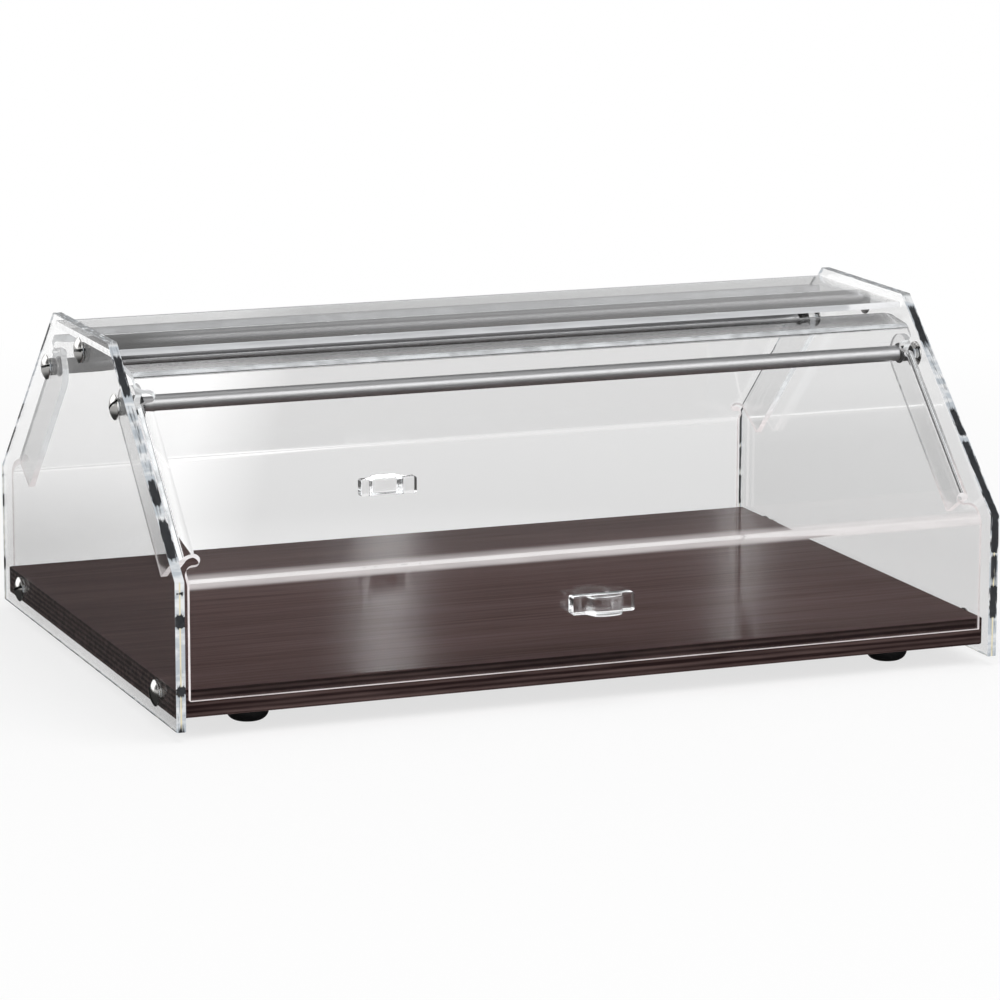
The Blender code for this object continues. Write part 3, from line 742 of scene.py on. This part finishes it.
# Rows (way up the slope, half width) round the notches at the fold's two ends. Each notch is
# an arc, half width = centre - r cos a at way = middle + r sin a, from its square side at
# a = -90 degrees to where it meets the fold, after a corner c rounded the other way. The upper
# one is the lower one mirrored.
def reliefRows(low, fold):
    s = flapShape
    r, c, past = s["reliefRound"], s["reliefCorner"], s["reliefPastFold"]
    start = low + s["reliefAboveBend"]
    t = np.linspace(0, np.pi / 2, 9)
    a = np.linspace(-np.pi / 2, math.acos((r - past) / r), 17)
    way = np.append(start - s["reliefStep"] - c + c * np.sin(t), start + r + r * np.sin(a))
    half = np.append(s["halfWidth"] - c + c * np.cos(t), fold - past + r - r * np.cos(a))
    lower = np.stack([way, half], -1)
    upper = lower[::-1] * (-1, 1) + (start, 0)
    return lower, upper


# One side's folded edge and arm, as (x, u, v) points: a quarter circle x = fold + r cos a,
# v = face - r + r sin a carried up the slope, and the flat arm below it, filled round its bore.
def armSurface(fold, low, high, face):
    s = flapShape
    r = s["bendInside"] + s["thick"]
    a = np.repeat(np.linspace(np.pi / 2, 0, 13), 2)
    ways = np.tile([low, high], 13)
    strip = np.stack([fold + r * np.cos(a), ways, face - r + r * np.sin(a)], -1)
    line, front, back = face - r, face - s["thick"] - case["gap"], -s["armBehind"]
    middle, tip = (front + back) / 2, min(s["armTip"], (front - back) / 2)
    dip = np.linspace(np.pi, 0, 13)[1:]
    turn = np.linspace(np.pi / 2, -np.pi / 2, 33)
    outline = np.concatenate(
        [
            [(low, line), (high, line)],
            np.stack([high / 2 - high / 2 * np.cos(dip), line + high / 2 * np.sin(dip)], -1),
            np.stack([tip * np.cos(turn), middle + tip * np.sin(turn)], -1),
            [(-s["armBelow"], back)],
        ]
    )
    bore = circle(s["armBore"])[::-1]
    loops = [[Vector((u, v, 0)) for u, v in loop] for loop in (outline, bore)]
    fill = [[k + len(strip) for k in corners] for corners in tessellate_polygon(loops)]
    arm = np.concatenate([outline, bore])
    arm = np.insert(arm, 0, s["halfWidth"], axis=1)
    return np.concatenate([strip, arm]), gridFaces(13, 2) + fill


# The outer face as rows across the bent path, from edge to edge, with the folded arms merged
# on, then thickened inward: at point P with normal n the inner face is P - thickness n.
def makeFlap(row, body, name, armNames):
    s = flapShape
    up, out, face, low = slopeVectors()
    radius, wide = s["bendInside"] + s["thick"], s["halfWidth"]
    fold = wide - radius
    corners = [
        (s["faceY"], s["bottom"]),
        (s["faceY"], s["lowerBend"]),
        (s["upperBendY"], s["upperBendZ"]),
        (s["lipY"], s["lipZ"]),
    ]
    path = bentPath(corners, radius, s["bendParts"]) - (case["rodY"], case["rodZ"])
    lower, upper = reliefRows(low, fold)
    slope = np.concatenate([lower, upper])
    skirt, upperBend, last = path[: s["bendParts"] + 2], path[s["bendParts"] + 2 : -1], path[-1]
    run = (last - path[-2]) / np.linalg.norm(last - path[-2])
    turns = np.radians(np.linspace(90, 0, 13))
    lip = last - s["corner"] * (1 - np.cos(turns))[:, None] * run
    lipHalf = wide - s["corner"] * (1 - np.sin(turns))
    stations = np.concatenate([skirt, slope[:, :1] * up + face * out, upperBend, lip])
    half = [np.full(len(skirt), wide), slope[:, 1], np.full(len(upperBend), wide), lipHalf]
    half = np.concatenate(half)
    sheet = np.stack([np.stack([x, *stations.T], -1) for x in (-half, half)], 1).reshape(-1, 3)
    points, faces = [sheet], gridFaces(len(stations), 2)
    arm, armFaces = armSurface(fold, lower[-1, 0], upper[0, 0], face)
    yz = arm[:, 1:2] * up + arm[:, 2:] * out
    for side, _ in sideNames:
        count = sum(map(len, points))
        points.append(np.concatenate([arm[:, :1] * side, yz], 1))
        faces += [[k + count for k in corner] for corner in armFaces]
    points = np.concatenate(points) * (1, row, 1) + (0, row * case["rodY"], case["rodZ"])
    piece = pieceFromArrays(name + "_sheet", points, faces)
    weldSeams(piece)
    lowest = min(piece.data.polygons, key=lambda p: p.center.z)
    if lowest.normal.y * row < 0:
        piece.data.flip_normals()
    for _ in range(2):
        piece.data.materials.append(None)  # a slot for the faces and one for the cut edges
    thick = piece.modifiers.new("sheet", "SOLIDIFY")
    thick.thickness = s["thick"]
    thick.offset = -1
    thick.use_even_offset = True
    thick.material_offset_rim = 1
    edges = piece.modifiers.new("arrises", "BEVEL")
    edges.width = s["arris"]
    edges.segments = 2
    edges.limit_method = "ANGLE"
    edges.angle_limit = math.radians(50)
    applyModifiers(piece)
    slots = rowsOf(piece.data.polygons, "material_index", 1, int)[:, 0]
    markFaces(piece.data, "rim", slots == 1)
    piece.data.polygons.foreach_set("material_index", np.zeros(len(slots), int))
    evenShading(piece, 30)
    fit(piece, flapAcrylic, body, [name] + armNames)


for row, rowName in rowNames:
    name = rowName + "_flap"
    makeFlap(row, name, name, [f"{rowName}_arm_{sideName}" for _, sideName in sideNames])
print("flaps done")

# Handles

handleShape = {
    "length": 0.040,
    "height": 0.012,
    "middleZ": 0.0625,
    "endLength": 0.007,
    "flank": 0.005,
    "endDepth": 0.008,
    "gripDepth": 0.016,
    "crown": 0.0015,
    "arris": 0.0015,
    "rings": 4,
}


# Plan outline: flat ends, flanks eased by 3 q^2 - 2 q^3, and a crown 1 - (u / grip)^2.
def makeHandle(row, body, name):
    s = handleShape
    half = s["length"] / 2
    shoulder = half - s["endLength"]
    grip = shoulder - s["flank"]
    q = np.linspace(0, 1, 25)
    deep = s["endDepth"] + (s["gripDepth"] - s["endDepth"]) * q * q * (3 - 2 * q)
    flank = np.stack([shoulder + (grip - shoulder) * q, deep], -1)
    u = np.linspace(grip, -grip, 33)[1:-1]
    crown = np.stack([u, s["gripDepth"] + s["crown"] * (1 - (u / grip) ** 2)], -1)
    right = np.concatenate([[(half, case["gap"]), (half, s["endDepth"])], flank])
    outline = np.concatenate([right, crown, right[::-1] * (-1, 1)])
    outline = (outline + (0, flapShape["faceY"])) * (1, row)
    place = (0, 0, s["middleZ"])
    piece = platePiece(
        name + "_grip", [outline], s["height"], s["arris"], flat, place, s["rings"], sharpAngle=40
    )
    fit(piece, handleAcrylic, body, name)


for row, rowName in rowNames:
    makeHandle(row, rowName + "_flap", rowName + "_handle")
print("handles done")

# Rods

rodShape = {"radius": 0.005, "edge": 0.0005, "inset": 0.0104, "hole": 0.0029, "holeDepth": 0.020}


# A lathe profile with an eased end edge and a blind hole in each end.
def makeRod(y, z, inset, name):
    s = rodShape
    end = innerX - inset
    bottom = end - s["holeDepth"]
    bore = [(tiny, bottom), (s["hole"], bottom), (s["hole"], end)]
    half = np.concatenate([bore, easedCorner(s["radius"], end, s["edge"])])
    profile = np.concatenate([half, half[::-1] * (1, -1)])
    piece = turnedPiece(name + "_bar", profile, 96, lengthwise, (0, y, z))
    # The rods behind take the darker copy of the aluminium, a painted shade
    metal = rodMetal if name == "front_rod" else shadedRodMetal
    fit(piece, metal, "case", name)


for row, rowName in rowNames:
    makeRod(row * case["rodY"], case["rodZ"], rodShape["inset"], rowName + "_rod")
makeRod(0, case["middleRodZ"], case["gap"], "middle_rod")
print("rods done")

# Spacers and washers

ringShapes = {
    "spacer": {"outer": 0.0055, "length": 0.0036, "inset": 0.0003, "edge": 0.0004},
    "washer": {"outer": 0.0065, "length": 0.0016, "inset": 0.0085, "edge": 0.0004},
}


# A ring on the hinge screw with rounded outer edges.
def makeRing(row, side, kind, name):
    s = ringShapes[kind]
    h = s["length"] / 2
    top = np.concatenate([[(case["hole"], h)], easedCorner(s["outer"], h, s["edge"])])
    profile = np.concatenate([top, top[::-1] * (1, -1)])
    place = (side * (innerX - s["inset"] - h), row * case["rodY"], case["rodZ"])
    piece = turnedPiece(name + "_ring", profile, 64, lengthwise, place, closed=True)
    fit(piece, nylon, "case", name)


for row, rowName in rowNames:
    for side, sideName in sideNames:
        for kind in ringShapes:
            makeRing(row, side, kind, f"{rowName}_{kind}_{sideName}")
print("rings done")

# Screws

sideHead = {"head": 0.008, "rim": 0.0008, "height": 0.0035, "slot": 0.0016, "slotDeep": 0.0014}
footHead = {"head": 0.0036, "rim": 0.0008, "height": 0.0026, "slot": 0.0010, "slotDeep": 0.0010}
screwShapes = {
    "rod": sideHead | {"shank": 0.0025, "length": 0.016},  # its length in the rod's end
    "base": sideHead | {"shank": 0.0020, "length": 0.032},
    "foot": footHead | {"shank": 0.0018, "length": 0.017},
}
threadShape = {"pitch": 0.0008, "depth": 0.045, "step": 0.0002}
slotTurns = {
    "front_rod": -38, "middle_rod": -9, "rear_rod": -17,
    "base_screw_front": 62, "base_screw_rear": -25,
}


# A box of this size about the axis, turned round it by spin and lifted by z.
def makeCutter(name, size, spin, z):
    signs = [(i, j, k) for i in (-1, 1) for j in (-1, 1) for k in (-1, 1)]
    sides = [(0, 1, 3, 2), (4, 6, 7, 5), (0, 4, 5, 1), (2, 3, 7, 6), (0, 2, 6, 4), (1, 5, 7, 3)]
    corners = np.array(signs) * (np.array(size) / 2)
    cutter = pieceFromArrays(name, corners @ spin.T + (0, 0, z), sides)
    faceOutward(cutter)
    return cutter


# A domed head, z = rim + cap of a sphere, on a threaded shank whose radius wavers along
# its length as 1 - depth + depth cos(2 pi z / pitch), with a slot cut across the crown.
def makeScrew(kind, length, slotAngle, turn, place, name):
    s, thread = screwShapes[kind], threadShape
    rise = s["height"] - s["rim"]
    ball = (s["head"] ** 2 + rise**2) / (2 * rise)
    a = np.linspace(0.002, math.asin(s["head"] / ball), 22)
    dome = np.stack([ball * np.sin(a), s["rim"] + ball * np.cos(a) - (ball - rise)], -1)
    e = s["rim"] * 0.4
    rim = [(s["head"], e), (s["head"] - e * 0.3, e * 0.3), (s["head"] - e, 0)]
    down = np.arange(0, -length + s["shank"], -thread["step"])
    wave = np.cos(2 * np.pi * down / thread["pitch"])
    shank = np.stack([s["shank"] * (1 - thread["depth"] + thread["depth"] * wave), down], -1)
    tip = [(s["shank"] * 0.6, -length + s["shank"] * 0.4), (tiny, -length)]
    profile = np.concatenate([dome, rim, shank, tip])
    piece = turnedPiece(name + "_steel", profile, 64, flat, (0, 0, 0))
    angle = math.radians(slotAngle)
    c, d = math.cos(angle), math.sin(angle)
    spin = np.array([[c, -d, 0], [d, c, 0], [0, 0, 1]])
    size = (3 * s["head"], s["slot"], 2 * s["slotDeep"])
    cutter = makeCutter(name + "_slot", size, spin, s["height"])
    cut = piece.modifiers.new("slot", "BOOLEAN")
    cut.object = cutter
    cut.solver = "EXACT"
    applyModifiers(piece)
    bpy.data.objects.remove(cutter, do_unlink=True)
    # Faces in the slot, which get painted shade
    centres = rowsOf(piece.data.polygons, "center", 3) @ spin
    inSlot = (np.abs(centres[:, 1]) < s["slot"] / 2 + tiny) & (centres[:, 2] > 0)
    markFaces(piece.data, "slot", inSlot)
    setDown(piece.data, turn, place)
    smoothUpTo(piece.data, 28)
    fit(piece, screwMetal, "case", name)


# Columns are the world directions of own x (up), own y (across) and own z (outward).
def outwardTurn(side):
    out = np.array([side, 0.0, 0.0])
    up = np.array([0.0, 0.0, 1.0])
    return np.stack([up, np.cross(out, up), out], -1)


throughPanel = case["panel"] + case["gap"]
rodRows = (
    ("front", -case["rodY"], case["rodZ"], rodShape["inset"]),
    ("middle", 0.0, case["middleRodZ"], case["gap"]),
    ("rear", case["rodY"], case["rodZ"], rodShape["inset"]),
)
for side, sideName in sideNames:
    x, turn = side * (case["length"] / 2 + case["gap"]), outwardTurn(side)
    for rowName, y, z, inset in rodRows:
        length = throughPanel + inset + screwShapes["rod"]["length"]
        slotAngle = 90 + side * slotTurns[rowName + "_rod"]
        makeScrew("rod", length, slotAngle, turn, (x, y, z), f"{rowName}_rod_screw_{sideName}")
    for row, rowName in rowNames:
        place = (x, row * case["baseScrewY"], baseMiddleZ)
        length = screwShapes["base"]["length"]
        slotAngle = 90 + side * slotTurns["base_screw_" + rowName]
        makeScrew("base", length, slotAngle, turn, place, f"base_screw_{rowName}_{sideName}")
print("side screws done")

# Feet

footShape = {
    "radius": 0.013,
    "height": 0.012,
    "round": 0.0065,
    "recess": 0.0045,
    "recessDeep": 0.0055,
    "bore": 0.0022,
    "topEase": 0.0003,
    "recessEase": 0.0002,
    "x": 0.213,
    "y": 0.150,
}


# A lathe ring: straight side, quarter-round lower edge and a recess for its screw.
def makeFoot(side, row, name):
    s = footShape
    top, ease, small = s["height"] - case["gap"], s["topEase"], s["recessEase"]
    upper = [(s["bore"], top), (s["radius"] - ease, top), (s["radius"], top - ease)]
    lower = easedCorner(s["radius"], 0, s["round"], 17)[::-1] * (1, -1)
    recess = [
        (s["recess"] + small, 0), (s["recess"], small),
        (s["recess"], s["recessDeep"]), (s["bore"], s["recessDeep"]),
    ]
    profile = np.concatenate([upper, lower, recess])
    place = (side * s["x"], row * s["y"], 0)
    piece = turnedPiece(name + "_rubber", profile, 72, flat, place, closed=True)
    fit(piece, rubber, "case", name)


for side, sideName in sideNames:
    for row, rowName in rowNames:
        makeFoot(side, row, f"foot_{rowName}_{sideName}")
        x, y, z = side * footShape["x"], row * footShape["y"], footShape["recessDeep"]
        place, slotAngle = (x, y, z - case["gap"]), 30 * side + 15 * row
        name = f"foot_screw_{rowName}_{sideName}"
        makeScrew("foot", screwShapes["foot"]["length"], slotAngle, upsideDown, place, name)
print("feet done")

# Camera

cameraSetup = {
    "place": (-1.02786, -2.62758, 0.66785),
    "turn": (78.41805, -0.11349, -21.50594),
    "lens": 161.111,
    "sensor": 36,
    "clip": (0.05, 60),
}
cameraData = bpy.data.cameras.new("camera")
cameraData.sensor_width = cameraSetup["sensor"]
cameraData.lens = cameraSetup["lens"]
cameraData.clip_start, cameraData.clip_end = cameraSetup["clip"]
camera = newObject("camera", cameraData)
camera.location = cameraSetup["place"]
camera.rotation_euler = [math.radians(a) for a in cameraSetup["turn"]]
bpy.context.scene.camera = camera

# Floor, world and lights. The floor's tables are (distance from the middle, level), for what shows
# straight, through clear sheet, with painted shade round the case, and mirrored, painted dark near
# the case. The room's are (sine of height, level).

studio = {
    "floorColour": (0.86, 0.86, 0.86, 1.0),
    "floorSize": 24.0,
    "floorReach": 2.0,
    "floorWhite": [(0.4, 0.72), (1.2, 1.0)],
    "floorThroughShade": [(0.26, 0.97), (0.42, 0.82), (0.75, 0.88), (1.5, 0.95)],
    "floorMirroredShade": [(0.52, 0.04), (0.78, 0.45), (1.5, 0.50)],
    "floorLeftLight": 1.45,
    "floorLeftWay": (0.93, -0.366, 0),
    "floorLeftTurn": (-0.17, -0.24),
    "worldLight": 0.45,
    "roomPeak": 4.0,
    "roomFront": [
        (0.0, 0.5), (0.10, 1.0), (0.30, 1.5), (0.62, 1.5),
        (0.70, 0.6), (0.84, 0.2), (0.95, 0.2), (0.97, 0.65),
    ],
    "roomRear": [(0.0, 0.60), (0.140, 0.60), (0.175, 0.08), (0.84, 0.2), (0.90, 0.65)],
    "roomTurn": (0.0, -0.3),
    "leftBox": 1.6,
    "leftBoxSide": (-0.12, -0.30),
    "leftBoxTop": (0.62, 0.5),
    "strips": [(0.0, 0.0), (0.17, 0.0), (0.19, 9.0), (0.34, 9.0), (0.38, 0.0)],
    "stripPeak": 9.0,
    "stripTurns": ((24.68, 0.0028), (20.05, 0.0046)),
    "stripEdge": (1.6, 0.5),
    "lamps": [
        {"name": "softTop", "place": (0.2, -0.5, 2.4), "size": 1.8, "power": 32},
        {"name": "softLeft", "place": (-2.4, -1.0, 1.3), "size": 1.2, "power": 16},
        {"name": "softRight", "place": (2.4, -1.2, 1.5), "size": 1.2, "power": 12},
    ],
    "lampAim": (0, 0, 0.1),
}


# Factors for rays that show a surface (straight, mirrored or through clear sheet), for those
# among them that a surface has mirrored on the way, and for those that came through a sheet.
def seenRays(tree):
    path = node(tree, "LightPath").outputs
    seen = maths(tree, "MAXIMUM", path["Is Camera Ray"], path["Is Glossy Ray"])
    seen = maths(tree, "MAXIMUM", seen, path["Is Transmission Ray"])
    mirrored = maths(tree, "MINIMUM", path["Glossy Depth"], 1.0)
    return seen, mirrored, path["Is Transmission Ray"]


# How far a direction or place reaches along the given one: their dot product.
def along(tree, vector, way):
    made = node(tree, "VectorMath", {0: vector, 1: way}, operation="DOT_PRODUCT")
    return made.outputs["Value"]


# A flat pale sheet. Seen rays get mostly its white, so the shadow stays as a soft one. Through
# clear sheet it shows a painted shade round the case and a painted pool of light to its left, and
# mirrored rays see it painted dark near the case.
def makeFloor():
    t = np.linspace(-0.5, 0.5, 9) * studio["floorSize"]
    x, y = np.meshgrid(t, t, indexing="ij")
    points = np.stack([x, y, np.full_like(x, -0.0001)], -1).reshape(-1, 3)
    floor = pieceFromArrays("floor", points, gridFaces(9, 9))
    if floor.data.polygons[0].normal.z < 0:
        floor.data.flip_normals()
    settings = {"Base Color": studio["floorColour"], "Roughness": 0.9, "Specular IOR Level": 0.0}
    made, tree, shader = newMaterial("paleFloor", settings)
    seen, mirrored, isThrough = seenRays(tree)
    place = ownPlace(tree)
    far = node(tree, "VectorMath", {0: place}, operation="LENGTH").outputs["Value"]
    reach = studio["floorReach"]
    plain, through, below = (
        steps(tree, far, studio[table], reach=reach)
        for table in ("floorWhite", "floorThroughShade", "floorMirroredShade")
    )
    # A painted pool of light on the floor seen through the sheets, to the left of the case
    beside = along(tree, place, studio["floorLeftWay"])
    leftPaintedLight = ranged(tree, beside, *studio["floorLeftTurn"], 1.0, studio["floorLeftLight"])
    level = blend(tree, isThrough, 1.0, maths(tree, "MULTIPLY", through, leftPaintedLight))
    level = blend(tree, mirrored, level, below)
    white = node(tree, "Emission", {"Strength": level}).outputs["Emission"]
    amount = maths(tree, "MULTIPLY", seen, blend(tree, mirrored, plain, 1.0))
    showMixed(tree, amount, shader.outputs["BSDF"], white)
    floor.data.materials.append(made)


# An upright bright strip in the direction turned this far from +Y to +X.
def uprightStrip(tree, direction, turn, halfWidth):
    a = math.radians(turn)
    off = maths(tree, "ABSOLUTE", along(tree, direction, (math.cos(a), -math.sin(a), 0)))
    return ranged(tree, off, *(share * halfWidth for share in studio["stripEdge"]))


# Plain light for the surfaces. Seen rays meet white, and mirrored ones the studio: a pale
# backdrop near the horizon, then dark and bright bands of the room above it, two upright
# strips behind the case, and a bright box to the left of it.
def makeWorld():
    world = bpy.data.worlds.new("studio")
    bpy.context.scene.world = world
    world.use_nodes = True
    tree = world.node_tree
    lit = tree.nodes["Background"]
    lit.inputs["Color"].default_value = (1, 1, 1, 1)
    lit.inputs["Strength"].default_value = studio["worldLight"]
    seen, mirrored, _ = seenRays(tree)
    direction = node(tree, "TexCoord").outputs["Generated"]
    parts = partsOf(tree, direction)
    x, y, height = parts["X"], parts["Y"], parts["Z"]
    rear, front = (
        steps(tree, height, studio[table], peak=studio["roomPeak"])
        for table in ("roomRear", "roomFront")
    )
    room = blend(tree, ranged(tree, y, *studio["roomTurn"]), rear, front)
    isBehind = maths(tree, "GREATER_THAN", y, 0.5)
    strips = [uprightStrip(tree, direction, *strip) for strip in studio["stripTurns"]]
    strips = maths(tree, "MULTIPLY", maths(tree, "MAXIMUM", *strips), isBehind)
    bright = steps(tree, height, studio["strips"], peak=studio["stripPeak"])
    room = maths(tree, "MULTIPLY_ADD", strips, bright, room)
    left = maths(tree, "MULTIPLY", ranged(tree, x, *studio["leftBoxSide"]), isBehind)
    left = maths(tree, "MULTIPLY", left, ranged(tree, height, *studio["leftBoxTop"]))
    room = blend(tree, left, room, studio["leftBox"])
    level = blend(tree, mirrored, 1.0, room)
    shown = node(tree, "Background", {"Color": (1, 1, 1, 1), "Strength": level})
    backgrounds = lit.outputs["Background"], shown.outputs["Background"]
    showMixed(tree, seen, *backgrounds, output="World Output")


# A soft square lamp that no mirror or sheet shows.
def makeLamp(lamp):
    data = bpy.data.lights.new(lamp["name"], "AREA")
    data.size = lamp["size"]
    data.energy = lamp["power"]
    holder = newObject(lamp["name"], data)
    holder.location = lamp["place"]
    way = Vector(studio["lampAim"]) - Vector(lamp["place"])
    holder.rotation_euler = way.to_track_quat("-Z", "Y").to_euler()
    holder.visible_camera = False
    holder.visible_glossy = False
    holder.visible_transmission = False


makeFloor()
makeWorld()
for lamp in studio["lamps"]:
    makeLamp(lamp)
bpy.context.scene.view_settings.view_transform = "Standard"
print("studio done")
